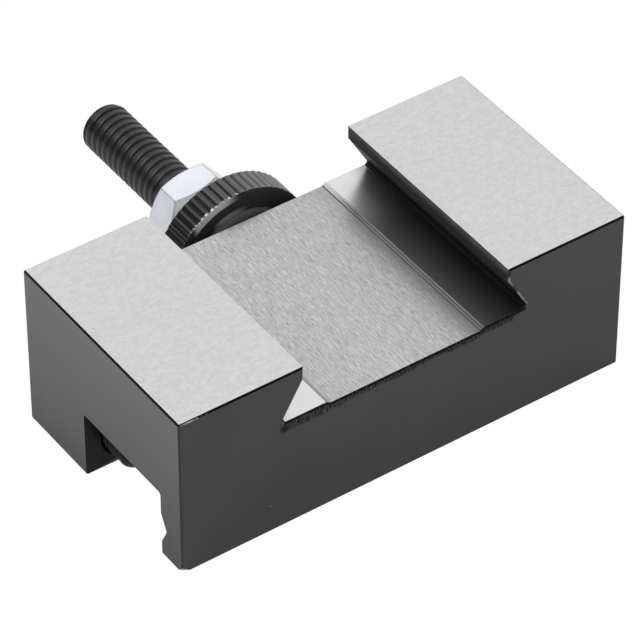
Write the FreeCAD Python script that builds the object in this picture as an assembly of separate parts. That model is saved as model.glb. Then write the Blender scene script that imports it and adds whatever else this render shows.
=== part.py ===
import FreeCAD, Part
import math
import os

# Quick-change holder for a lathe tool, in millimetres.
# X runs along the tool slot, Y towards the height stud and Z out of the dovetail.
# The origin is the middle of the dovetail's ground floor.

# Steel block
block_length = 75.0
block_width = 38.6
block_height = 27.7
edge_break = 0.25

# Dovetail, cut along Y and open towards +Z
dovetail_opening = 34.5
dovetail_depth = 9.0
lip_height = 2.2
flank_angle = 30.0
flank_foot_radius = 0.5
ground_strip_width = 25.3
ground_strip_shoulder = 0.75
side_strip_rise = 0.4

# Tool slot, cut along X and open towards -Z
seat_jaw_thickness = 5.0
slot_width = 19.15
slot_depth = 11.5
slot_corner_radius = 0.5

# Shallow V in the seat, for round bars, in line with the clamping screws
clamp_line_height = 5.1
seat_groove_height = 5.3
seat_groove_depth = 1.3
seat_groove_radius = 0.4

# Thread of every screw here, a 5/16 inch 18 to the inch thread at its crests
thread_radius = 3.97
thread_pitch = 1.411
thread_depth_per_pitch = 0.613
thread_clearance = 0.05
hole_countersink = 0.4

# Hexagon socket of the screws and of the stud
socket_across_flats = 3.97
socket_depth = 4.5

# Clamping screws through the wall behind the slot, in two groups that leave the stud free
screws_each_side = 2
screw_pitch = 15.0
screw_length = 19.0
screw_end_distance = 7.0
screw_reach_into_slot = 4.6

# Height stud in the face at +Y
stud_height = 10.15
stud_length = 50.8
stud_free_length = 39.0

# Round height nut with a straight knurl and a hub towards the block
height_nut_radius = 11.6
height_nut_thickness = 5.05
height_nut_hub_radius = 8.4
height_nut_hub_length = 1.75
height_nut_gap_to_block = 0.15
height_nut_bevel_width = 0.9
height_nut_bevel_depth = 0.35
knurl_teeth = 58
knurl_depth = 0.4
knurl_crest_share = 0.30
knurl_root_share = 0.08

# Hexagon lock nut, stood off from the height nut as it is on the stud
lock_nut_across_flats = 12.7
lock_nut_thickness = 5.7
lock_nut_standoff = 3.95
lock_nut_turn = 9.5
lock_nut_chamfer_angle = 30.0
lock_nut_chamfer_share = 0.88
nut_countersink = 0.5

# Places worked out from the sizes above
floor_z = 0.0
top_z = floor_z + dovetail_depth
bottom_z = top_z - block_height
front_y = -block_width / 2
back_y = block_width / 2
side_strip_z = floor_z + side_strip_rise
lip_x = dovetail_opening / 2
lip_z = top_z - lip_height
foot_x = lip_x + (lip_z - side_strip_z) * math.tan(math.radians(flank_angle))
seat_y = front_y + seat_jaw_thickness
slot_wall_y = seat_y + slot_width
clamp_z = bottom_z + clamp_line_height
stud_z = bottom_z + stud_height
stud_tip_y = back_y + stud_free_length
stud_root_y = stud_tip_y - stud_length
height_nut_hub_y = back_y + height_nut_gap_to_block
height_nut_y = height_nut_hub_y + height_nut_hub_length
lock_nut_y = height_nut_y + height_nut_thickness + lock_nut_standoff
past_face = 1.0

# Threaded holes clear the crests; screws are bevelled at their ends down to the thread's root
hole_radius = thread_radius + thread_clearance
thread_end_bevel = thread_pitch * thread_depth_per_pitch


def vector(x, y, z):
    return FreeCAD.Vector(x, y, z)


def prism_along_y(points_xz, y_start, y_end):
    """Solid whose outline in X and Z is carried from y_start to y_end."""
    corners = [vector(x, y_start, z) for x, z in points_xz]
    outline = Part.makePolygon(corners + corners[:1])
    return Part.Face(outline).extrude(vector(0, y_end - y_start, 0))


def prism_along_x(points_yz, x_start, x_end):
    """Solid whose outline in Y and Z is carried from x_start to x_end."""
    corners = [vector(x_start, y, z) for y, z in points_yz]
    outline = Part.makePolygon(corners + corners[:1])
    return Part.Face(outline).extrude(vector(x_end - x_start, 0, 0))


def turned_along_y(profile, x, z):
    """Solid turned about the line along Y through x and z, from points of y and radius."""
    corners = [vector(x + radius, y, z) for y, radius in profile]
    outline = Part.makePolygon(corners + corners[:1])
    return Part.Face(outline).revolve(vector(x, 0, z), vector(0, 1, 0), 360)


def rod_along_y(x, z, y_start, y_end, radius):
    return Part.makeCylinder(radius, y_end - y_start, vector(x, y_start, z), vector(0, 1, 0))


def hexagon_points(x, z, across_flats, turn):
    """Corners of a hexagon, its first one turned from +X towards +Z by turn degrees."""
    corner_radius = across_flats / math.sqrt(3)
    angles = [math.radians(turn + 60 * corner) for corner in range(6)]
    return [(x + corner_radius * math.cos(a), z + corner_radius * math.sin(a)) for a in angles]


def edges_at(shape, is_wanted):
    """Edges whose two ends both answer is_wanted."""
    return [edge for edge in shape.Edges if all(is_wanted(v.Point) for v in edge.Vertexes)]


def screw_places():
    """X of each clamping screw, counted inwards from both ends of the block."""
    outer = block_length / 2 - screw_end_distance
    right = [outer - place * screw_pitch for place in range(screws_each_side)]
    return [-x for x in right] + right[::-1]


def dovetail_cutter():
    """What the dovetail takes away: upright lips, leaning flanks, side strips and the ground floor."""
    over_z = top_z + past_face
    outline = [(-lip_x, over_z), (-lip_x, lip_z), (-foot_x, side_strip_z)]
    outline += [(foot_x, side_strip_z), (lip_x, lip_z), (lip_x, over_z)]
    cutter = prism_along_y(outline, front_y - past_face, back_y + past_face)
    foot_edges = edges_at(cutter, lambda p: abs(p.z - side_strip_z) < 1e-6)
    foot_edges = [edge for edge in foot_edges if edge.Length > block_width]
    cutter = cutter.makeFillet(flank_foot_radius, foot_edges)
    floor_x = ground_strip_width / 2
    shoulder_x = floor_x + ground_strip_shoulder
    channel = [(-shoulder_x, side_strip_z), (-floor_x, floor_z), (floor_x, floor_z)]
    channel += [(shoulder_x, side_strip_z), (shoulder_x, lip_z), (-shoulder_x, lip_z)]
    return cutter.fuse(prism_along_y(channel, front_y - past_face, back_y + past_face)).removeSplitter()


def dovetail_end_edges(block):
    """Edges of the dovetail's outline in the block's front and back faces."""
    edges = []
    for end_y in (front_y, back_y):
        edges += edges_at(block, lambda p: abs(p.y - end_y) < 1e-6 and abs(p.x) < foot_x
                          and floor_z - 1e-6 < p.z < top_z - edge_break + 1e-6)
    return edges


def tool_slot_cutter():
    """What the slot for the square tool takes away, with rounded corners at its ceiling."""
    corner = vector(-block_length / 2 - past_face, seat_y, bottom_z - past_face)
    ceiling_z = bottom_z + slot_depth
    cutter = Part.makeBox(block_length + 2 * past_face, slot_width, slot_depth + past_face, corner)
    ceiling_edges = edges_at(cutter, lambda p: abs(p.z - ceiling_z) < 1e-6)
    ceiling_edges = [edge for edge in ceiling_edges if edge.Length > block_length]
    return cutter.makeFillet(slot_corner_radius, ceiling_edges)


def seat_groove_cutter():
    """What the V in the seat takes away, its bottom slightly rounded."""
    half_height = seat_groove_height / 2
    tip_y = seat_y - seat_groove_depth
    outline = [(seat_y, clamp_z + half_height), (tip_y, clamp_z), (seat_y, clamp_z - half_height)]
    outline += [(seat_y + past_face, clamp_z - half_height), (seat_y + past_face, clamp_z + half_height)]
    cutter = prism_along_x(outline, -block_length / 2 - past_face, block_length / 2 + past_face)
    tip_edges = edges_at(cutter, lambda p: abs(p.y - tip_y) < 1e-6)
    return cutter.makeFillet(seat_groove_radius, tip_edges)


def countersink_cutter(x, z, mouth_y, inward):
    """Cone at the mouth of a threaded hole; inward is the way into the metal along Y."""
    deep_y = mouth_y + inward * hole_countersink
    wide = hole_radius + hole_countersink
    return turned_along_y([(mouth_y, 0), (mouth_y, wide), (deep_y, hole_radius), (deep_y, 0)], x, z)


def holder_body():
    """The block with its dovetail, tool slot, screw holes and the stud's hole."""
    corner = vector(-block_length / 2, front_y, bottom_z)
    block = Part.makeBox(block_length, block_width, block_height, corner)
    block = block.makeChamfer(edge_break, block.Edges)
    block = block.cut(dovetail_cutter())
    block = block.makeChamfer(edge_break, dovetail_end_edges(block))
    block = block.cut(tool_slot_cutter())
    block = block.cut(seat_groove_cutter())
    hole_start_y = slot_wall_y - past_face
    for x in screw_places():
        block = block.cut(rod_along_y(x, clamp_z, hole_start_y, back_y + past_face, hole_radius))
        block = block.cut(countersink_cutter(x, clamp_z, slot_wall_y, 1))
        block = block.cut(countersink_cutter(x, clamp_z, back_y, -1))
    block = block.cut(rod_along_y(0, stud_z, stud_root_y, back_y + past_face, hole_radius))
    return block.cut(countersink_cutter(0, stud_z, back_y, -1))


def threaded_pin(x, z, tip_y, socket_end_y):
    """Headless screw at its thread's crests, bevelled at both ends, with a hexagon socket."""
    way = 1 if socket_end_y > tip_y else -1
    bevel = way * thread_end_bevel
    end_radius = thread_radius - thread_end_bevel
    profile = [(tip_y, 0), (tip_y, end_radius), (tip_y + bevel, thread_radius)]
    profile += [(socket_end_y - bevel, thread_radius), (socket_end_y, end_radius), (socket_end_y, 0)]
    pin = turned_along_y(profile, x, z)
    socket_floor_y = socket_end_y - way * socket_depth
    socket_outline = hexagon_points(x, z, socket_across_flats, 0)
    return pin.cut(prism_along_y(socket_outline, socket_floor_y, socket_end_y + way * past_face))


def clamp_screw(x):
    """Clamping screw, its tip a little way into the slot and its socket at the stud's side."""
    tip_y = slot_wall_y - screw_reach_into_slot
    return threaded_pin(x, clamp_z, tip_y, tip_y + screw_length)


def height_stud():
    """Stud screwed to the bottom of its hole, with its socket at the free end."""
    return threaded_pin(0, stud_z, stud_root_y, stud_tip_y)


def knurled_outline():
    """Outline of the straight knurl: flat crests and roots joined by straight flanks."""
    step = 2 * math.pi / knurl_teeth
    root_radius = height_nut_radius - knurl_depth
    crest = knurl_crest_share * step / 2
    root = (1 - knurl_root_share) * step / 2
    offsets = [(-root, root_radius), (-crest, height_nut_radius)]
    offsets += [(crest, height_nut_radius), (root, root_radius)]
    points = []
    for tooth in range(knurl_teeth):
        middle = tooth * step
        for offset, radius in offsets:
            angle = middle + offset
            points.append((radius * math.cos(angle), stud_z + radius * math.sin(angle)))
    return points


def nut_bore_cutter(y_start, y_end):
    """Bore of a nut, countersunk at both ends."""
    wide = hole_radius + nut_countersink
    profile = [(y_start - past_face, 0), (y_start - past_face, wide), (y_start, wide)]
    profile += [(y_start + nut_countersink, hole_radius), (y_end - nut_countersink, hole_radius)]
    profile += [(y_end, wide), (y_end + past_face, wide), (y_end + past_face, 0)]
    return turned_along_y(profile, 0, stud_z)


def height_nut():
    """Knurled disc, bevelled at both rims, with a plain hub towards the block."""
    far_y = height_nut_y + height_nut_thickness
    rim = height_nut_radius - height_nut_bevel_width
    envelope_profile = [(height_nut_y, 0), (height_nut_y, rim)]
    envelope_profile += [(height_nut_y + height_nut_bevel_depth, height_nut_radius)]
    envelope_profile += [(far_y - height_nut_bevel_depth, height_nut_radius), (far_y, rim), (far_y, 0)]
    envelope = turned_along_y(envelope_profile, 0, stud_z)
    disc = prism_along_y(knurled_outline(), height_nut_y, far_y).common(envelope)
    hub = rod_along_y(0, stud_z, height_nut_hub_y, height_nut_y, height_nut_hub_radius)
    nut = disc.fuse(hub).removeSplitter()
    return nut.cut(nut_bore_cutter(height_nut_hub_y, far_y))


def lock_nut():
    """Hexagon nut, chamfered at both faces."""
    far_y = lock_nut_y + lock_nut_thickness
    corner_radius = lock_nut_across_flats / math.sqrt(3)
    face_radius = lock_nut_chamfer_share * lock_nut_across_flats / 2
    drop = (corner_radius - face_radius) * math.tan(math.radians(lock_nut_chamfer_angle))
    envelope_profile = [(lock_nut_y, 0), (lock_nut_y, face_radius), (lock_nut_y + drop, corner_radius)]
    envelope_profile += [(far_y - drop, corner_radius), (far_y, face_radius), (far_y, 0)]
    envelope = turned_along_y(envelope_profile, 0, stud_z)
    outline = hexagon_points(0, stud_z, lock_nut_across_flats, lock_nut_turn)
    nut = prism_along_y(outline, lock_nut_y, far_y).common(envelope)
    return nut.cut(nut_bore_cutter(lock_nut_y, far_y))


def main():
    pieces = {"holder_body": holder_body(), "height_stud": height_stud()}
    pieces["height_nut"] = height_nut()
    pieces["lock_nut"] = lock_nut()
    for number, x in enumerate(screw_places(), start=1):
        pieces[f"set_screw_{number}"] = clamp_screw(x)
    os.makedirs("parts", exist_ok=True)
    for name, shape in pieces.items():
        shape.exportStep(f"parts/{name}.step")
        state = "valid" if shape.isValid() else "not valid"
        print(name, state, len(shape.Solids), "solid", round(shape.Volume, 1))


main()
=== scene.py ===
import math
import bmesh
import bpy
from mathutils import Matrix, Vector


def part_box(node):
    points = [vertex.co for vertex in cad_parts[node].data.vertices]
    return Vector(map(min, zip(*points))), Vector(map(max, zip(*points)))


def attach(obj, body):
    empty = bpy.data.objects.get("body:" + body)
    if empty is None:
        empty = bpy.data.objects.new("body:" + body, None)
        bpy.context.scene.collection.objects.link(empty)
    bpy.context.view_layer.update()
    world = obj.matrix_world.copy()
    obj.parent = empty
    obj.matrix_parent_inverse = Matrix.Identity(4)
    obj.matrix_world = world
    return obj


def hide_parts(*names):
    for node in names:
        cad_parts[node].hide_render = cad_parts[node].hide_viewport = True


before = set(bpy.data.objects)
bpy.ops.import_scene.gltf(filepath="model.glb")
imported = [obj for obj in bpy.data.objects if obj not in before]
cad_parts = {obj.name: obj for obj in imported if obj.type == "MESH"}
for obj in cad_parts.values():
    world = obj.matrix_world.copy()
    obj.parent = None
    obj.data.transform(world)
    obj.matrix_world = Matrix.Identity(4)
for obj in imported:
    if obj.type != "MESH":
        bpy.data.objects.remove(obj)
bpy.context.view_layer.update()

MM = 0.001


# The block. It is one piece of steel, milled all over and blackened in hot oxide salts. Its two
# lands, the dovetail's floor and the strips beside that floor are machined bright afterwards. Its
# long edges are broken with a small bevel, and the floor's ends are filed by hand.

block_low, block_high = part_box("holder_body")
edge_break = 0.25 * MM
floor_level = 0.0
side_strip_level = 0.4 * MM
shoulder_foot = 12.65 * MM
shoulder_width = 0.75 * MM
flank_angle = math.radians(30)
dovetail_reach = 22 * MM
seat_groove_height = 5.3 * MM
seat_groove_depth = 1.3 * MM
knocked_corner = Vector((1.6, 1.2, 1.3)) * MM
hair = 0.01 * MM


def add_node(tree, kind, **settings):
    """New node of a tree, with its properties set by name."""
    node = tree.nodes.new(kind)
    for name, value in settings.items():
        setattr(node, name, value)
    return node


def feed(tree, socket, value):
    """Puts a number, a vector or another node's output into a socket."""
    if isinstance(value, bpy.types.NodeSocket):
        tree.links.new(value, socket)
    else:
        socket.default_value = value


def fed_node(tree, kind, values, **settings):
    """Outputs of a new node whose first sockets are fed in their order."""
    node = add_node(tree, kind, **settings)
    for socket, value in zip(node.inputs, values):
        feed(tree, socket, value)
    return node.outputs


def compute(tree, operation, *values):
    """Output of a Math node."""
    return fed_node(tree, "ShaderNodeMath", values, operation=operation)[0]


def product(tree, first, *others):
    """Product of two or more values."""
    for value in others:
        first = compute(tree, "MULTIPLY", first, value)
    return first


def hypotenuse(tree, first, second):
    """Distance that two values at right angles make."""
    squares = [compute(tree, "MULTIPLY", side, side) for side in (first, second)]
    return compute(tree, "SQRT", compute(tree, "ADD", *squares))


def remap(tree, value, low, high, new_low=0.0, new_high=1.0, way="LINEAR"):
    """Value taken from low and high to new_low and new_high, and held between them."""
    values = (value, low, high, new_low, new_high)
    return fed_node(tree, "ShaderNodeMapRange", values, interpolation_type=way)[0]


def smooth_step(tree, value, low, high, new_low=0.0, new_high=1.0):
    """Value taken from low and high to new_low and new_high, with rounded shoulders."""
    return remap(tree, value, low, high, new_low, new_high, "SMOOTHSTEP")


def noise(tree, place, scale, detail=2.0, roughness=0.5):
    """Output of a Noise node."""
    node = add_node(tree, "ShaderNodeTexNoise")
    for name, value in zip(("Vector", "Scale", "Detail", "Roughness"), (place, scale, detail, roughness)):
        feed(tree, node.inputs[name], value)
    return node.outputs["Fac"]


def object_place(tree, stretch=(1.0, 1.0, 1.0)):
    """Object coordinates, stretched along each axis."""
    coordinates = add_node(tree, "ShaderNodeTexCoord")
    mapping = add_node(tree, "ShaderNodeMapping")
    mapping.inputs["Scale"].default_value = stretch
    feed(tree, mapping.inputs["Vector"], coordinates.outputs["Object"])
    return mapping.outputs["Vector"]


def part_place(tree):
    """Object coordinates as three outputs, X, Y and Z."""
    return fed_node(tree, "ShaderNodeSeparateXYZ", [object_place(tree)])


def new_group(name, inputs, outputs):
    """Shader node group with named value inputs and outputs; returns it with its two end nodes."""
    group = bpy.data.node_groups.new(name, "ShaderNodeTree")
    for socket_name, kind in inputs:
        group.interface.new_socket(socket_name, in_out="INPUT", socket_type=kind)
    for socket_name in outputs:
        group.interface.new_socket(socket_name, in_out="OUTPUT", socket_type="NodeSocketFloat")
    return group, add_node(group, "NodeGroupInput"), add_node(group, "NodeGroupOutput")


def grinding_grain_group():
    """Streaks that a grinding wheel leaves, from a place stretched along the wheel's way."""
    sockets = [("Place", "NodeSocketVector"), ("Fineness", "NodeSocketFloat")]
    group, start, end = new_group("Grinding grain", sockets, ("Streak", "Cloud"))
    place, fineness = start.outputs["Place"], start.outputs["Fineness"]
    coarse = noise(group, place, fineness, 3.0, 0.6)
    fine = noise(group, place, product(group, fineness, 2.7), 1.0)
    feed(group, end.inputs["Streak"], product(group, compute(group, "ADD", coarse, fine), 0.5))
    feed(group, end.inputs["Cloud"], noise(group, place, 60.0))
    return group


def oxide_bloom_group():
    """Soft clouds in a blackened surface, and the few light specks of dust and bare metal on it."""
    sockets = [("Place", "NodeSocketVector"), ("Speck Size", "NodeSocketFloat")]
    group, start, end = new_group("Oxide bloom", sockets, ("Cloud", "Speck", "Grit"))
    place = start.outputs["Place"]
    feed(group, end.inputs["Cloud"], noise(group, place, 90.0, 3.0))
    feed(group, end.inputs["Grit"], noise(group, place, 4200.0))
    cells = add_node(group, "ShaderNodeTexVoronoi", feature="F1")
    feed(group, cells.inputs["Vector"], place)
    cells.inputs["Scale"].default_value = 700.0
    chance = add_node(group, "ShaderNodeSeparateColor")
    feed(group, chance.inputs["Color"], cells.outputs["Color"])
    near = compute(group, "LESS_THAN", cells.outputs["Distance"], start.outputs["Speck Size"])
    rare = compute(group, "GREATER_THAN", chance.outputs["Red"], 0.985)
    feed(group, end.inputs["Speck"], product(group, near, rare))
    return group


grinding_grain = grinding_grain_group()
oxide_bloom = oxide_bloom_group()


def place_group(tree, group, **values):
    """Node that holds a shader group, its inputs fed by name with _ for a blank."""
    node = add_node(tree, "ShaderNodeGroup", node_tree=group)
    for name, value in values.items():
        feed(tree, node.inputs[name.replace("_", " ")], value)
    return node.outputs


def new_material(name):
    """Material with its tree and the inputs of its Principled shader."""
    material = bpy.data.materials.new(name)
    material.use_nodes = True
    return material, material.node_tree, material.node_tree.nodes["Principled BSDF"].inputs


def grey(level):
    """Colour with no hue."""
    return (level, level, level)


def colour_mix(tree, mask, first, second):
    """Colour between two by a mask; a colour is three numbers or another node's output."""
    node = add_node(tree, "ShaderNodeMix", data_type="RGBA")
    feed(tree, node.inputs["Factor"], mask)
    for name, colour in (("A", first), ("B", second)):
        linked = isinstance(colour, bpy.types.NodeSocket)
        feed(tree, node.inputs[name], colour if linked else (*colour, 1.0))
    return node.outputs["Result"]


def tinted(tree, mask, colour):
    """Takes a material's base colour towards another colour by a mask."""
    base = tree.nodes["Principled BSDF"].inputs["Base Color"]
    feed(tree, base, colour_mix(tree, mask, base.links[0].from_socket, colour))


def bump(tree, height, depth):
    """Bump of that depth, in metres, on a material's normal."""
    node = add_node(tree, "ShaderNodeBump")
    node.inputs["Strength"].default_value = 1.0
    node.inputs["Distance"].default_value = depth
    feed(tree, node.inputs["Height"], height)
    feed(tree, tree.nodes["Principled BSDF"].inputs["Normal"], node.outputs["Normal"])


def ground_steel(name, stretch, fineness, greys, roughness, depth, mirror=1.0):
    """Bare steel from a grinding wheel: streaks along one way, with faint clouds.

    mirror is the share that reflects; the rest is the grey scatter of fine grinding marks.
    """
    material, tree, look = new_material(name)
    grain = place_group(tree, grinding_grain, Place=object_place(tree, stretch), Fineness=fineness)
    streak = remap(tree, grain["Streak"], 0.36, 0.64)
    cloud = remap(tree, grain["Cloud"], 0.3, 0.7, -0.12, 0.12)
    dark, light = greys
    feed(tree, look["Base Color"],
         colour_mix(tree, compute(tree, "ADD", streak, cloud), grey(dark), grey(light)))
    look["Metallic"].default_value = mirror
    low, high = roughness
    feed(tree, look["Roughness"], remap(tree, streak, 0.0, 1.0, high, low))
    if depth > 0:
        bump(tree, grain["Streak"], depth)
    return material


def blackened_steel(name, tones, roughness, specular, grit_depth, speck_size=0.12):
    """Steel in black oxide with a film of oil: near-black, with a satin gloss."""
    material, tree, look = new_material(name)
    bloom = place_group(tree, oxide_bloom, Place=object_place(tree), Speck_Size=speck_size)
    cloud = remap(tree, bloom["Cloud"], 0.3, 0.7)
    feed(tree, look["Base Color"], colour_mix(tree, cloud, *tones))
    tinted(tree, bloom["Speck"], grey(0.11))
    feed(tree, look["Roughness"], remap(tree, cloud, 0.0, 1.0, *roughness))
    look["Specular IOR Level"].default_value = specular
    bump(tree, bloom["Grit"], grit_depth)
    return material


def rubbed_edge(name, stretch, scale, share, light):
    """Broken edge with the oxide rubbed through along part of it; share is how much stays black."""
    material, tree, look = new_material(name)
    marks = noise(tree, object_place(tree, stretch), scale, 2.0, 0.7)
    bare = remap(tree, marks, share, share + 0.2)
    feed(tree, look["Base Color"], colour_mix(tree, bare, grey(0.004), grey(light)))
    feed(tree, look["Metallic"], remap(tree, bare, 0.0, 1.0, 0.0, 0.8))
    look["Roughness"].default_value = 0.45
    look["Specular IOR Level"].default_value = 0.25
    bump(tree, marks, 0.01 * MM)
    return material


def shaded_floor():
    """Dovetail's ground floor, with long marks, and painted shade greying it towards the right flank."""
    material = ground_steel("ground_floor", stretch=(1.0, 0.07, 1.0), fineness=5200.0, greys=(0.32, 0.65),
                            roughness=(0.26, 0.40), depth=0.004 * MM, mirror=0.8)
    tree = material.node_tree
    across = part_place(tree)["X"]
    # Painted shade: the floor is greyed towards the dark right flank.
    flank_shade = smooth_step(tree, across, 8.5 * MM, 13.0 * MM)
    tinted(tree, product(tree, flank_shade, 0.35), grey(0.20))
    return material


def side_strip():
    """Strips beside the floor: the left one bright, the right one with painted shade under the flank and in
    its corner.
    """
    material = ground_steel("milled_side_strip", stretch=(1.0, 0.1, 1.0), fineness=1500.0, greys=(0.72, 0.74),
                            roughness=(0.285, 0.285), depth=0.0)
    tree = material.node_tree
    place = part_place(tree)
    across, along = place["X"], place["Y"]
    rear = block_high.y
    on_right = compute(tree, "GREATER_THAN", across, 0.0)
    tinted(tree, on_right, grey(0.75))
    # Painted shade on the right strip, deeper away from the rear end and next to the shoulder.
    shade_deep_in = smooth_step(tree, along, rear - 4 * MM, rear - 17 * MM)
    shoulder_top = shoulder_foot + shoulder_width
    shade_by_shoulder = remap(tree, across, shoulder_top, shoulder_top + 2 * MM, 0.63, 0.30)
    tinted(tree, product(tree, on_right, shade_deep_in, shade_by_shoulder), grey(0.10))
    # Painted shade in the corner under the right flank.
    corner_shade = smooth_step(tree, across, 16.5 * MM, 21.0 * MM, 0.0, 0.6)
    tinted(tree, corner_shade, grey(0.05))
    scatter = product(tree, remap(tree, across, 14.5 * MM, 17.5 * MM, 0.25, 0.04),
                      remap(tree, along, rear - 13 * MM, rear - 3 * MM))
    feed(tree, tree.nodes["Principled BSDF"].inputs["Metallic"], compute(tree, "SUBTRACT", 1.0, scatter))
    return material


def stepped_shoulder():
    """Slope beside the ground strip: bare on the left; on the right in painted shade, with the wheel's steps.
    """
    material = ground_steel("ground_shoulder", stretch=(1.0, 0.01, 1.0), fineness=2600.0, greys=(0.62, 0.62),
                            roughness=(0.62, 0.70), depth=0.0)
    tree = material.node_tree
    place = part_place(tree)
    across, along = place["X"], place["Y"]
    step_pitch = 0.36 * MM
    past_first = compute(tree, "SUBTRACT", across, shoulder_foot + 0.08 * MM)
    step = compute(tree, "COSINE", product(tree, past_first, 2 * math.pi / step_pitch))
    dark_step = remap(tree, step, 0.0, 0.5)
    on_right = compute(tree, "GREATER_THAN", across, 0.0)
    inwards = smooth_step(tree, along, block_high.y - 1.5 * MM, block_high.y - 9 * MM)
    # Painted shade on the right slope, deeper away from the rear end; the wheel's steps show only in it.
    shaded = product(tree, on_right, inwards)
    tinted(tree, shaded, grey(0.24))
    tinted(tree, product(tree, shaded, dark_step), grey(0.10))
    left_top = compute(tree, "LESS_THAN", across, 0.12 * MM - shoulder_foot - shoulder_width)
    tinted(tree, left_top, grey(0.10))
    at_floor = compute(tree, "LESS_THAN", across, shoulder_foot + 0.17 * MM)
    tinted(tree, product(tree, on_right, at_floor), grey(0.12))
    return material


def filed_band(tree):
    """Mask of the cross-filed band of the front face, right below the end of the dovetail's floor."""
    across, along, up = part_place(tree)
    stroke_pitch = 0.40 * MM
    waver = remap(tree, noise(tree, object_place(tree, (1.0, 1.0, 0.3)), 1500.0), 0.0, 1.0, 0.0, 1.4 * MM)
    stroke = product(tree, compute(tree, "ADD", across, waver), 2 * math.pi / stroke_pitch)
    glint = remap(tree, across, -10.0 * MM, 0.0, 0.0, 0.35)
    strokes = remap(tree, compute(tree, "COSINE", stroke), -0.2, 0.8, 1.0, glint)
    patch = noise(tree, object_place(tree), 330.0, 2.0, 0.6)
    lower_edge = compute(tree, "ADD", remap(tree, patch, 0.35, 0.65, -0.1 * MM, -0.6 * MM),
                         remap(tree, across, -15.0 * MM, 10.0 * MM, -1.0 * MM, -0.7 * MM))
    depth = smooth_step(tree, up, lower_edge, compute(tree, "ADD", lower_edge, 0.5 * MM))
    from_middle = compute(tree, "ABSOLUTE", compute(tree, "ADD", across, 1.2 * MM))
    inside = compute(tree, "LESS_THAN", from_middle, 19.6 * MM)
    below_edge = compute(tree, "LESS_THAN", up, side_strip_level - edge_break + hair)
    band = product(tree, depth, inside, strokes, below_edge)
    from_smudge = hypotenuse(tree, compute(tree, "ADD", across, 20.4 * MM),
                             compute(tree, "ADD", up, 0.6 * MM))
    smudge = remap(tree, from_smudge, 0.36 * MM, 0.99 * MM, 1.0, 0.0)
    on_front = compute(tree, "LESS_THAN", along, block_low.y + hair)
    return product(tree, compute(tree, "MAXIMUM", band, smudge), on_front)


def milled_black():
    """Black of the milled faces: dull in the filed band, and glossier up the left end."""
    gloss = 0.5
    material = blackened_steel("blackened_block", tones=((0.011, 0.011, 0.0115), (0.016, 0.016, 0.0165)),
                               roughness=(0.27, 0.33), specular=gloss, grit_depth=0.002 * MM)
    tree = material.node_tree
    filed = filed_band(tree)
    tinted(tree, filed, grey(0.003))
    place = part_place(tree)
    across, up = place["X"], place["Z"]
    on_end = compute(tree, "LESS_THAN", across, block_low.x + hair)
    up_end = remap(tree, up, block_low.z, block_high.z, 0.57, 2.10)
    of_plain = compute(tree, "MULTIPLY_ADD", on_end, compute(tree, "SUBTRACT", up_end, 1.0), 1.0)
    feed(tree, tree.nodes["Principled BSDF"].inputs["Specular IOR Level"],
         product(tree, remap(tree, filed, 0.0, 1.0, gloss, 0.1), of_plain))
    return material


def nicked_edge():
    """Broken edges of the lands, dull black, with bare nicks beside the left front corner."""
    material = blackened_steel("blackened_broken_edge", tones=(grey(0.002), grey(0.004)),
                               roughness=(0.45, 0.55), specular=0.12, grit_depth=0.002 * MM)
    tree = material.node_tree
    place = part_place(tree)
    across, along = place["X"], place["Y"]
    by_corner = smooth_step(tree, across, block_low.x + 5 * MM, block_low.x + 3 * MM)
    in_front = compute(tree, "LESS_THAN", along, block_low.y + edge_break / 2)
    marks = noise(tree, object_place(tree, (0.3, 1.0, 1.0)), 2500.0, 2.0, 0.6)
    nicks = remap(tree, marks, 0.44, 0.54, 0.0, 0.8)
    tinted(tree, product(tree, by_corner, in_front, nicks), grey(0.45))
    return material


def mottled_lip():
    """Upright lips under the lands, dull black, with a mottled painted highlight at the top and greyer to the
    far end.
    """
    gloss = 0.055
    material = blackened_steel("blackened_lip", tones=(grey(0.006), grey(0.010)), roughness=(0.36, 0.46),
                               specular=gloss, grit_depth=0.002 * MM)
    tree = material.node_tree
    place = part_place(tree)
    along, up = place["Y"], place["Z"]
    feed(tree, tree.nodes["Principled BSDF"].inputs["Specular IOR Level"],
         remap(tree, along, 6.0 * MM, block_high.y, gloss, 0.02))
    # Painted highlight: mottled grey along the top of the lip, under the land's edge.
    highlight_by_land = smooth_step(tree, up, block_high.z - 1.7 * MM, block_high.z - 0.1 * MM)
    above_foot = smooth_step(tree, up, block_high.z - 2.3 * MM, block_high.z - 1.6 * MM)
    far_end = product(tree, remap(tree, along, 9.0 * MM, block_high.y, 0.0, 0.7), above_foot)
    patches = noise(tree, object_place(tree), 900.0, 2.0, 0.6)
    lighter = product(tree, compute(tree, "MAXIMUM", highlight_by_land, far_end),
                      remap(tree, patches, 0.35, 0.62, 0.55, 1.0))
    tinted(tree, lighter, grey(0.085))
    return material


land_steel = ground_steel("ground_land", stretch=(0.55, 1.0, 1.0), fineness=1300.0, greys=(0.557, 0.635),
                          roughness=(0.30, 0.42), depth=0.004 * MM, mirror=0.6)
floor_steel = shaded_floor()
strip_steel = side_strip()
shoulder_steel = stepped_shoulder()
block_black = milled_black()
edge_black = nicked_edge()
corner_black = blackened_steel("blackened_upright_edge", tones=(grey(0.016), grey(0.032)),
                               roughness=(0.40, 0.50), specular=0.30, grit_depth=0.004 * MM, speck_size=0.2)
lip_black = mottled_lip()
slot_black = blackened_steel("blackened_slot", tones=(grey(0.006), grey(0.009)),
                             roughness=(0.30, 0.38), specular=0.14, grit_depth=0.002 * MM)
filed_black = rubbed_edge("filed_floor_end", stretch=(1.0, 0.12, 0.12), scale=5200.0, share=0.56, light=0.16)
rubbed_black = rubbed_edge("rubbed_flank_end", stretch=(1.0, 1.0, 1.0), scale=500.0, share=0.42, light=0.38)


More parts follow.
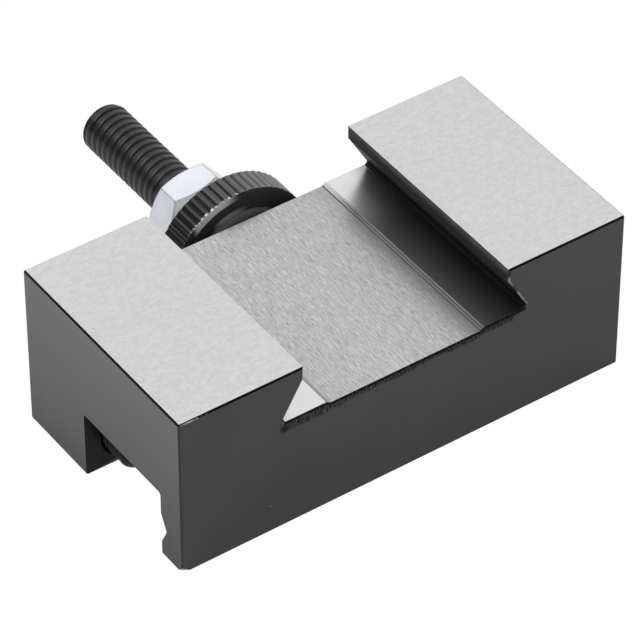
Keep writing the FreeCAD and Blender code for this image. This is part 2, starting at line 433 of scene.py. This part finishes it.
def merged_copy(node, name):
    """Object with a copy of a CAD node's mesh, its loose triangles joined and its degenerate faces taken out.
    """
    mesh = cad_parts[node].data.copy()
    mesh.name = name
    shape = bmesh.new()
    shape.from_mesh(mesh)
    bmesh.ops.remove_doubles(shape, verts=shape.verts, dist=0.001 * MM)
    bmesh.ops.dissolve_degenerate(shape, edges=shape.edges, dist=0.0005 * MM)
    shape.to_mesh(mesh)
    shape.free()
    mesh.materials.clear()
    piece = bpy.data.objects.new(name, mesh)
    bpy.context.scene.collection.objects.link(piece)
    return piece


def knock_corner(mesh, corner, reach):
    """Cuts a block's lowest corner off, as far along each edge as reach says, and closes the cut."""
    shape = bmesh.new()
    shape.from_mesh(mesh)
    outwards = -Vector([1.0 / length for length in reach]).normalized()
    everything = shape.verts[:] + shape.edges[:] + shape.faces[:]
    bmesh.ops.bisect_plane(shape, geom=everything, clear_outer=True,
                           plane_co=corner + Vector((reach.x, 0.0, 0.0)), plane_no=outwards)
    bmesh.ops.holes_fill(shape, edges=[edge for edge in shape.edges if edge.is_boundary])
    shape.to_mesh(mesh)
    shape.free()


def smooth_below(mesh, degrees):
    """Smooth shading, kept sharp where two faces meet at more than that angle."""
    for polygon in mesh.polygons:
        polygon.use_smooth = True
    mesh.set_sharp_from_angle(angle=math.radians(degrees))


def is_diagonal(part):
    """Whether one part of a face's normal is that of a bevel at 45 degrees."""
    return 0.69 < abs(part) < 0.72


def finish_of(polygon):
    """Which finish a face of the block has, by where it lies and the way it faces."""
    normal, middle = polygon.normal, polygon.center
    in_dovetail = abs(middle.x) < dovetail_reach
    if normal.z > 0.99:
        for level, finish in ((block_high.z, land_steel), (floor_level, floor_steel),
                              (side_strip_level, strip_steel)):
            if abs(middle.z - level) < 2 * hair:
                return finish
    if normal.z > 0.8 and abs(normal.x) > 0.3 and middle.z < side_strip_level:
        return shoulder_steel
    if is_diagonal(normal.y) and normal.z > 0.5 and abs(middle.z) < side_strip_level + edge_break:
        return filed_black
    if is_diagonal(normal.y) and in_dovetail and 0 < middle.z < block_high.z - edge_break:
        return rubbed_black
    if 0.6 < normal.z < 0.8 and middle.z > block_high.z - edge_break:
        return edge_black
    if in_dovetail and middle.z > side_strip_level and abs(normal.y) < 0.5 and normal.z < 0.99:
        return lip_black
    if is_diagonal(normal.x) and abs(normal.z) < 0.01:
        return corner_black
    between_sides = block_low.y + 1 * MM < middle.y < block_high.y - 1 * MM
    if between_sides and abs(normal.x) < 0.9 and middle.z > block_low.z + 0.5 * MM:
        return slot_black
    return block_black


def in_plane(angle, first, second):
    """Direction in the plane of two axes, at that angle from the first axis towards the second."""
    return first * math.cos(angle) + second * math.sin(angle)


along_x, along_y, along_z = (Vector(axis) for axis in ((1, 0, 0), (0, 1, 0), (0, 0, 1)))
diagonal = math.radians(45)
flank_way = in_plane(flank_angle, along_x, along_z)
groove_way = in_plane(math.atan2(seat_groove_depth, seat_groove_height / 2), along_y, along_z)
shoulder_way = in_plane(math.atan2(side_strip_level, shoulder_width), along_z, along_x)
flat_ways = [along_x, along_y, along_z, in_plane(diagonal, along_x, along_y),
             in_plane(diagonal, along_x, along_z), in_plane(diagonal, along_y, along_z),
             flank_way, in_plane(diagonal, flank_way, along_y), shoulder_way, groove_way]


def is_flat(polygon):
    """Whether a face of the block was milled flat; the others are rounded corners and holes."""
    facing = Vector([abs(part) for part in polygon.normal])
    return any((facing - way).length < 0.004 for way in flat_ways)


block = merged_copy("holder_body", "block")
knock_corner(block.data, block_low, knocked_corner)
block_finishes = [block_black, land_steel, floor_steel, strip_steel, shoulder_steel, edge_black, filed_black,
                  rubbed_black, lip_black, slot_black, corner_black]
for finish in block_finishes:
    block.data.materials.append(finish)
smooth_below(block.data, 25)
for polygon in block.data.polygons:
    polygon.material_index = block_finishes.index(finish_of(polygon))
    polygon.use_smooth = not is_flat(polygon)
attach(block, "holder")
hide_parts("holder_body")


# The screws. The stud and the four clamping screws are headless, rolled from alloy steel with a
# 5/16 inch, 18 to the inch thread and blackened. Each has a hexagon socket in one end.

thread_crest = 3.97 * MM
thread_pitch = 1.411 * MM
socket_corner = 3.97 * MM / math.sqrt(3)
socket_depth = 4.5 * MM
socket_point = 1.0 * MM
rows_per_pitch = 12
sides_of_thread = 72


def new_turning(name, sizes):
    """Geometry Nodes tree that turns a profile's points about the line along Y.

    A point's X is its radius and its Y its place along the line. Returns the tree, its inputs,
    and the mesh, radius, place and angle of the turned grid.
    """
    tree = bpy.data.node_groups.new(name, "GeometryNodeTree")
    tree.interface.new_socket("Profile", in_out="INPUT", socket_type="NodeSocketGeometry")
    for label, kind in [("Sides", "NodeSocketInt"), ("Axis Place", "NodeSocketVector"), *sizes]:
        tree.interface.new_socket(label, in_out="INPUT", socket_type=kind)
    tree.interface.new_socket("Finish", in_out="INPUT", socket_type="NodeSocketMaterial")
    tree.interface.new_socket("Piece", in_out="OUTPUT", socket_type="NodeSocketGeometry")
    size = add_node(tree, "NodeGroupInput").outputs
    count = add_node(tree, "GeometryNodeAttributeDomainSize", component="MESH")
    feed(tree, count.inputs["Geometry"], size["Profile"])
    points = count.outputs["Point Count"]
    columns = compute(tree, "ADD", size["Sides"], 1.0)
    grid = fed_node(tree, "GeometryNodeMeshGrid", (1.0, 1.0, points, columns))
    position = add_node(tree, "GeometryNodeInputPosition").outputs["Position"]
    cell = fed_node(tree, "ShaderNodeSeparateXYZ", [position])
    share = compute(tree, "ADD", cell["X"], 0.5)
    row = compute(tree, "ROUND", product(tree, share, compute(tree, "SUBTRACT", points, 1.0)))
    angle = product(tree, compute(tree, "ADD", cell["Y"], 0.5), 2 * math.pi)
    sample = add_node(tree, "GeometryNodeSampleIndex", data_type="FLOAT_VECTOR", domain="POINT")
    for socket, value in (("Geometry", size["Profile"]), ("Value", position), ("Index", row)):
        feed(tree, sample.inputs[socket], value)
    point = fed_node(tree, "ShaderNodeSeparateXYZ", [sample.outputs["Value"]])
    return tree, size, grid["Mesh"], point["X"], point["Y"], angle


def finish_turning(tree, size, mesh, radius, along, angle):
    """Ends a turning tree: places the grid's points, closes its seam and gives it its finish."""
    across = product(tree, radius, compute(tree, "SINE", angle))
    upward = product(tree, radius, compute(tree, "COSINE", angle))
    from_axis = fed_node(tree, "ShaderNodeCombineXYZ", (across, along, upward))["Vector"]
    place = fed_node(tree, "ShaderNodeVectorMath", (from_axis, size["Axis Place"]), operation="ADD")
    placed = add_node(tree, "GeometryNodeSetPosition")
    feed(tree, placed.inputs["Position"], place["Vector"])
    merged = add_node(tree, "GeometryNodeMergeByDistance")
    merged.inputs["Distance"].default_value = 0.0005 * MM
    real = add_node(tree, "GeometryNodeRealizeInstances")
    finish = add_node(tree, "GeometryNodeSetMaterial")
    feed(tree, finish.inputs["Material"], size["Finish"])
    for step in (placed, merged, real, finish):
        feed(tree, step.inputs["Geometry"], mesh)
        mesh = step.outputs["Geometry"]
    feed(tree, add_node(tree, "NodeGroupOutput").inputs["Piece"], mesh)
    return tree


def back_and_forth(tree, turns):
    """Value that falls from 1 to 0 and rises to 1 again while turns grows by one."""
    part = compute(tree, "FRACT", turns)
    return compute(tree, "ABSOLUTE", compute(tree, "SUBTRACT", product(tree, part, 2.0), 1.0))


def grooved_radius(tree, size, from_root):
    """Radius of a root, a flank or a crest, from a value that is 0 in the root and 1 on the crest."""
    crest_from = compute(tree, "SUBTRACT", 1.0, size["Crest Share"])
    flank = smooth_step(tree, from_root, size["Root Share"], crest_from)
    cut = product(tree, compute(tree, "SUBTRACT", 1.0, flank), size["Groove Depth"])
    return compute(tree, "SUBTRACT", size["Crest Radius"], cut)


groove_sizes = [(size, "NodeSocketFloat") for size in
                ("Crest Radius", "Groove Depth", "Crest Share", "Root Share")]


def threaded_pin_tree():
    """Turning with a right-hand thread cut into it, and a hexagon pressed into its socket end."""
    own_sizes = [("Pitch", "NodeSocketFloat"), ("Socket Corner", "NodeSocketFloat")]
    tree, size, mesh, radius, along, angle = new_turning("Threaded pin", groove_sizes + own_sizes)
    around = compute(tree, "DIVIDE", angle, 2 * math.pi)
    turns = compute(tree, "SUBTRACT", compute(tree, "DIVIDE", along, size["Pitch"]), around)
    threaded = compute(tree, "MINIMUM", radius, grooved_radius(tree, size, back_and_forth(tree, turns)))
    sixth = math.pi / 3
    side = compute(tree, "SUBTRACT", compute(tree, "MODULO", angle, sixth), sixth / 2)
    flat = product(tree, size["Socket Corner"], math.cos(sixth / 2))
    hexagon = compute(tree, "DIVIDE", flat, compute(tree, "COSINE", side))
    just_past_corner = product(tree, size["Socket Corner"], 1.001)
    in_socket = compute(tree, "LESS_THAN", radius, just_past_corner)
    mixed = add_node(tree, "ShaderNodeMix", data_type="FLOAT")
    feed(tree, mixed.inputs["Factor"], in_socket)
    feed(tree, mixed.inputs["A"], threaded)
    feed(tree, mixed.inputs["B"], compute(tree, "MINIMUM", radius, hexagon))
    return finish_turning(tree, size, mesh, mixed.outputs["Result"], along, angle)


def turned_piece(name, profile, tree, values):
    """Plain mesh object from a profile of places and radii, through a turning tree."""
    points = bpy.data.meshes.new(name + "_profile")
    points.from_pydata([(radius, along, 0.0) for along, radius in profile], [], [])
    piece = bpy.data.objects.new(name, points)
    bpy.context.scene.collection.objects.link(piece)
    modifier = piece.modifiers.new("Turning", "NODES")
    modifier.node_group = tree
    for socket in tree.interface.items_tree:
        if socket.in_out == "INPUT" and socket.name in values:
            modifier[socket.identifier] = values[socket.name]
    turned = piece.evaluated_get(bpy.context.evaluated_depsgraph_get())
    mesh = bpy.data.meshes.new_from_object(turned)
    piece.modifiers.remove(modifier)
    piece.data = mesh
    mesh.name = name
    shape = bmesh.new()
    shape.from_mesh(mesh)
    bmesh.ops.recalc_face_normals(shape, faces=shape.faces)
    shape.to_mesh(mesh)
    shape.free()
    smooth_below(mesh, 40)
    return piece


threaded_pin = threaded_pin_tree()
screw_black = blackened_steel("blackened_screw", tones=((0.011, 0.0100, 0.0110), (0.019, 0.0175, 0.0185)),
                              roughness=(0.30, 0.40), specular=0.45, grit_depth=0.005 * MM, speck_size=0.2)
clamp_black = blackened_steel("blackened_clamping_screw",
                              tones=((0.005, 0.005, 0.0055), (0.010, 0.010, 0.0105)),
                              roughness=(0.20, 0.28), specular=0.15, grit_depth=0.004 * MM, speck_size=0.2)


def make_pin(node, finish, thread_depth, crest_share, end_bevel):
    """Threaded piece that stands for a CAD node, between the same ends, its socket in the higher end."""
    low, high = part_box(node)
    tip, mouth = low.y, high.y
    rows = round((mouth - tip) / thread_pitch * rows_per_pitch)
    profile = [(tip, 0.0)]
    for row in range(rows + 1):
        along = tip + (mouth - tip) * row / rows
        short = max(0.0, 1.0 - min(along - tip, mouth - along) / end_bevel)
        profile.append((along, thread_crest - end_bevel * short ** 2))
    socket_floor = mouth - socket_depth
    profile += [(mouth, socket_corner), (socket_floor, socket_corner), (socket_floor - socket_point, 0.0)]
    axis = Vector(((low.x + high.x) / 2, 0.0, (low.z + high.z) / 2))
    values = {"Sides": sides_of_thread, "Axis Place": axis, "Crest Radius": thread_crest,
              "Groove Depth": thread_depth, "Pitch": thread_pitch, "Crest Share": crest_share,
              "Root Share": 0.04, "Socket Corner": socket_corner, "Finish": finish}
    piece = turned_piece(node + "_thread", profile, threaded_pin, values)
    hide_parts(node)
    return piece


height_stud = make_pin("height_stud", screw_black,
                       thread_depth=0.28 * MM, crest_share=0.28, end_bevel=1.4 * MM)
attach(height_stud, "holder")
for screw in sorted(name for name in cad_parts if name.startswith("set_screw")):
    clamping_screw = make_pin(screw, clamp_black,
                              thread_depth=0.5 * MM, crest_share=0.16, end_bevel=0.85 * MM)
    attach(clamping_screw, screw)


# The height nut. It is a round nut turned from steel, with a straight knurl pressed into its rim
# and a plain hub towards the block; it is blackened, with bare chips in the knurl that are partly painted
# glints.

nut_low, nut_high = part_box("height_nut")
nut_radius = 11.6 * MM
nut_bevel_width = 0.9 * MM
nut_bevel_depth = 0.35 * MM
nut_bore = 4.02 * MM
nut_countersink = 0.5 * MM
hub_radius = 8.4 * MM
hub_length = 1.75 * MM
knurl_teeth = 58
knurl_depth = 0.11 * MM
columns_per_tooth = 12
near_face = nut_low.y + hub_length
far_face = nut_high.y
stud_level = (nut_low.z + nut_high.z) / 2


def knurled_nut_tree():
    """Turning whose rim is pressed in between the teeth of a straight knurl."""
    own_sizes = [("Teeth", "NodeSocketInt")]
    tree, size, mesh, radius, along, angle = new_turning("Knurled nut", groove_sizes + own_sizes)
    teeth = product(tree, compute(tree, "DIVIDE", angle, 2 * math.pi), size["Teeth"])
    from_root = compute(tree, "SUBTRACT", 1.0, back_and_forth(tree, teeth))
    knurled = compute(tree, "MINIMUM", radius, grooved_radius(tree, size, from_root))
    return finish_turning(tree, size, mesh, knurled, along, angle)


def knurl_chips_and_glints(tree, across, along, out):
    """Mask of bare chips on the knurl's crests by the near bevel; kept to the left part, they are also
    painted glints.
    """
    chips = remap(tree, noise(tree, object_place(tree), 1700.0, 2.0, 0.6), 0.49, 0.60)
    # The chips fade out away from the left part, where the light falls, so they are partly painted glints.
    from_left = remap(tree, across, -8.4 * MM, -6.8 * MM, 0.15, 1.0)
    to_right = remap(tree, across, -1.5 * MM, 0.5 * MM, 0.9, 0.1)
    past_bevel = remap(tree, along, near_face + 0.2 * MM, near_face + 0.3 * MM)
    before_rim = remap(tree, along, near_face + 0.6 * MM, near_face + 0.75 * MM, 1.0, 0.0)
    on_crest = remap(tree, out, nut_radius - knurl_depth, nut_radius - 0.1 * MM)
    return product(tree, chips, from_left, to_right, past_bevel, before_rim, on_crest)


def chipped_knurl_steel():
    """Black oxide of the height nut with chipped knurl crests, and painted shade, reflection, glints and
    highlight.
    """
    material = blackened_steel("blackened_knurl", tones=(grey(0.008), grey(0.014)), roughness=(0.26, 0.36),
                               specular=1.0, grit_depth=0.004 * MM)
    tree = material.node_tree
    across, along, up = part_place(tree)
    out = hypotenuse(tree, across, compute(tree, "SUBTRACT", up, stud_level))
    bevel_from = nut_radius - nut_bevel_width
    bevel_end = near_face + nut_bevel_depth
    on_bevel = product(tree, remap(tree, out, bevel_from, bevel_from + 0.1 * MM),
                       remap(tree, along, bevel_end, bevel_end + 0.1 * MM, 1.0, 0.0))
    # Painted reflection: the near rim's bevel grey on its left part, and faintly grey all round.
    rim_reflection = product(tree, smooth_step(tree, across, -8.1 * MM, -7.1 * MM),
                   smooth_step(tree, across, 0.3 * MM, -2.9 * MM))
    on_hub = compute(tree, "LESS_THAN", along, near_face - 0.05 * MM)
    # Painted shade: the hub darker towards the block, lighter away from it.
    hub_out_of_shade = remap(tree, along, nut_low.y + 0.3 * MM, nut_low.y + 1.2 * MM)
    tinted(tree, on_hub, colour_mix(tree, hub_out_of_shade, grey(0.03), grey(0.09)))
    tinted(tree, product(tree, on_bevel, compute(tree, "MAXIMUM", rim_reflection, 0.06)), grey(0.42))
    tinted(tree, knurl_chips_and_glints(tree, across, along, out), grey(0.75))
    inside = compute(tree, "LESS_THAN", out, bevel_from)
    on_face = product(tree, inside, compute(tree, "SUBTRACT", 1.0, on_hub))
    tinted(tree, on_face, grey(0.034))
    # Painted highlight: a light arc on the near face just outside the hub, left of the middle.
    highlight_by_hub = product(tree, smooth_step(tree, out, hub_radius + 0.9 * MM, hub_radius + 0.5 * MM),
                     smooth_step(tree, across, -5.0 * MM, -3.2 * MM),
                     smooth_step(tree, across, 1.8 * MM, -2.0 * MM))
    tinted(tree, product(tree, on_face, highlight_by_hub), grey(0.23))
    crest = smooth_step(tree, out, nut_radius - 0.95 * knurl_depth, nut_radius - 0.2 * knurl_depth)
    groove_gloss = remap(tree, across, -1.5 * MM, 6.5 * MM, 0.04, 0.48)
    crest_gloss = remap(tree, across, -5.5 * MM, 3.0 * MM, 0.20, 0.88)
    gloss = remap(tree, crest, 0.0, 1.0, groove_gloss, crest_gloss)
    off_knurl = compute(tree, "MAXIMUM", inside, on_bevel)
    look = tree.nodes["Principled BSDF"].inputs
    look["IOR"].default_value = 1.8
    feed(tree, look["Specular IOR Level"], product(tree, gloss, remap(tree, off_knurl, 0.0, 1.0, 1.0, 0.3)))
    return material


nut_profile = [(nut_low.y + nut_countersink, nut_bore), (nut_low.y, nut_bore + nut_countersink),
               (nut_low.y, hub_radius), (near_face, hub_radius), (near_face, nut_radius - nut_bevel_width),
               (near_face + nut_bevel_depth, nut_radius), (far_face - nut_bevel_depth, nut_radius),
               (far_face, nut_radius - nut_bevel_width), (far_face, nut_bore + nut_countersink),
               (far_face - nut_countersink, nut_bore)]
nut_profile.append(nut_profile[0])
nut_values = {"Sides": knurl_teeth * columns_per_tooth, "Axis Place": Vector((0, 0, stud_level)),
              "Teeth": knurl_teeth, "Crest Radius": nut_radius, "Groove Depth": knurl_depth,
              "Crest Share": 0.14, "Root Share": 0.04, "Finish": chipped_knurl_steel()}
height_nut = turned_piece("height_nut_knurled", nut_profile, knurled_nut_tree(), nut_values)
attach(height_nut, "height_nut")
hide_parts("height_nut")


# The lock nut. It is a standard hexagon nut, cold formed in steel, chamfered at both faces and
# plated with bright zinc, which rounds its corners a little.

lock_nut = merged_copy("lock_nut", "lock_nut_plated")


def zinc_plate(name, dark, light, metallic):
    """Zinc plating with faint clouds, and a painted dark reflection along its corners."""
    material, tree, look = new_material(name)
    cloud = remap(tree, noise(tree, object_place(tree), 200.0), 0.3, 0.7)
    feed(tree, look["Base Color"], colour_mix(tree, cloud, dark, light))
    look["Metallic"].default_value = metallic
    feed(tree, look["Roughness"], remap(tree, cloud, 0.0, 1.0, 0.24, 0.18))
    corner = add_node(tree, "ShaderNodeBevel", samples=4)
    corner.inputs["Radius"].default_value = 0.45 * MM
    rounded = corner.outputs["Normal"]
    feed(tree, look["Normal"], rounded)
    flat = add_node(tree, "ShaderNodeNewGeometry").outputs["Normal"]
    alike = fed_node(tree, "ShaderNodeVectorMath", (rounded, flat), operation="DOT_PRODUCT")["Value"]
    # Painted dark reflection: the plating darkened where the rounded corners turn off the flat faces.
    corner_dark_reflection = remap(tree, alike, 0.985, 0.94, 0.0, 0.6)
    tinted(tree, corner_dark_reflection, (0.10, 0.11, 0.12))
    return material


bright_zinc = zinc_plate("bright_zinc", (0.74, 0.77, 0.82), (0.82, 0.84, 0.88), 0.6)
# A copy of the zinc in painted shade, darker, for the facets that look sideways or down.
zinc_painted_shade = zinc_plate("zinc_painted_shade", (0.57, 0.59, 0.63), (0.67, 0.69, 0.73), 0.6)
# A frosted, diffuse copy of the zinc, painted lighter, for the faces towards the block.
frosted_zinc_painted_light = zinc_plate("frosted_zinc_painted_light", (0.93, 0.94, 0.95), (0.96, 0.97, 0.98), 0.0)
lock_nut_finishes = [bright_zinc, zinc_painted_shade, frosted_zinc_painted_light]


def plating_of(polygon):
    """Plating of a face: frosted and painted lighter towards the block, painted shade on facets that look
    sideways or down.
    """
    if polygon.normal.z < 0.6 and abs(polygon.normal.y) < 0.1:
        return zinc_painted_shade
    return frosted_zinc_painted_light if polygon.normal.y < -0.3 else bright_zinc


for finish in lock_nut_finishes:
    lock_nut.data.materials.append(finish)
for polygon in lock_nut.data.polygons:
    polygon.material_index = lock_nut_finishes.index(plating_of(polygon))
smooth_below(lock_nut.data, 12)
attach(lock_nut, "lock_nut")
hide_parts("lock_nut")


# The floor. It is a plain white sheet of card. The holder rests on it by its block's front edge
# and by the height nut's rim, which hangs a little lower than the block, so the card is tilted.

rest_front = Vector((0.0, block_low.y + edge_break, block_low.z))
rest_rear = Vector((0.0, near_face + nut_bevel_depth, nut_low.z))
card_slope = (rest_rear.z - rest_front.z) / (rest_rear.y - rest_front.y)
card_size = 4.0
mirrored_white = 0.76
mirrored_share = 0.6


def white_card():
    """Card that shows white to the camera and in reflections, and still takes a soft shadow."""
    material, tree, look = new_material("white_card")
    look["Base Color"].default_value = (0.9, 0.9, 0.9, 1.0)
    look["Roughness"].default_value = 0.9
    paths = add_node(tree, "ShaderNodeLightPath").outputs
    white = add_node(tree, "ShaderNodeEmission")
    feed(tree, white.inputs["Strength"], compute(tree, "MAXIMUM", paths["Is Camera Ray"], mirrored_white))
    mirrored = product(tree, paths["Is Glossy Ray"], mirrored_share)
    seen = compute(tree, "MAXIMUM", paths["Is Camera Ray"], mirrored)
    lit_card = tree.nodes["Principled BSDF"].outputs["BSDF"]
    mix = fed_node(tree, "ShaderNodeMixShader", (seen, lit_card, white.outputs["Emission"]))
    feed(tree, tree.nodes["Material Output"].inputs["Surface"], mix["Shader"])
    return material


card_reach = card_size / 2
card_corners = [(x, y, rest_front.z + (y - rest_front.y) * card_slope)
                for x, y in ((-card_reach, -card_reach), (card_reach, -card_reach),
                             (card_reach, card_reach), (-card_reach, card_reach))]
card_mesh = bpy.data.meshes.new("floor_card")
card_mesh.from_pydata(card_corners, [], [(0, 1, 2, 3)])
card_mesh.materials.append(white_card())
floor_sheet = bpy.data.objects.new("floor_card", card_mesh)
bpy.context.scene.collection.objects.link(floor_sheet)


# The light. A white sweep stands behind and over the holder, the room in front of it and beside
# it is dim, and one large soft box hangs over its left and rear.

tent_light = 0.90
room_light = 0.06
sweep_way = (0.50, 0.72, 0.48)

world = bpy.data.worlds.new("light_tent")
bpy.context.scene.world = world
world.use_nodes = True
tent = world.node_tree
tent_paths = add_node(tent, "ShaderNodeLightPath").outputs
ray_way = add_node(tent, "ShaderNodeTexCoord").outputs["Generated"]
to_sweep = fed_node(tent, "ShaderNodeVectorMath", (ray_way, sweep_way), operation="DOT_PRODUCT")["Value"]
sweep = smooth_step(tent, to_sweep, 0.42, 0.66, room_light, 1.0)
by_path = remap(tent, tent_paths["Is Glossy Ray"], 0.0, 1.0, tent_light, sweep)
tent_background = tent.nodes["Background"].inputs
tent_background["Color"].default_value = (1.0, 1.0, 1.0, 1.0)
feed(tent, tent_background["Strength"], compute(tent, "MAXIMUM", by_path, tent_paths["Is Camera Ray"]))

soft_box = bpy.data.lights.new("soft_box", "AREA")
soft_box.shape = "RECTANGLE"
soft_box.size = 0.5
soft_box.size_y = 0.4
soft_box.energy = 2.0
soft_box_stand = bpy.data.objects.new("soft_box", soft_box)
soft_box_stand.location = (-0.35, 0.25, 0.6)
soft_box_stand.rotation_euler = (-soft_box_stand.location).to_track_quat("-Z", "Y").to_euler()
bpy.context.scene.collection.objects.link(soft_box_stand)


# The camera. It stands where the photograph's did, which was worked out from the block's corners.

view_way = Vector((0.42872, 0.61095, -0.66551))

camera = bpy.data.cameras.new("camera")
camera.sensor_width = 36.0
camera.lens = 252.25
camera_stand = bpy.data.objects.new("camera", camera)
camera_stand.location = (-0.27123, -0.38503, 0.41456)
camera_stand.rotation_mode = "QUATERNION"
camera_stand.rotation_quaternion = view_way.to_track_quat("-Z", "Y")
bpy.context.scene.collection.objects.link(camera_stand)
bpy.context.scene.camera = camera_stand
bpy.context.scene.view_settings.view_transform = "Standard"
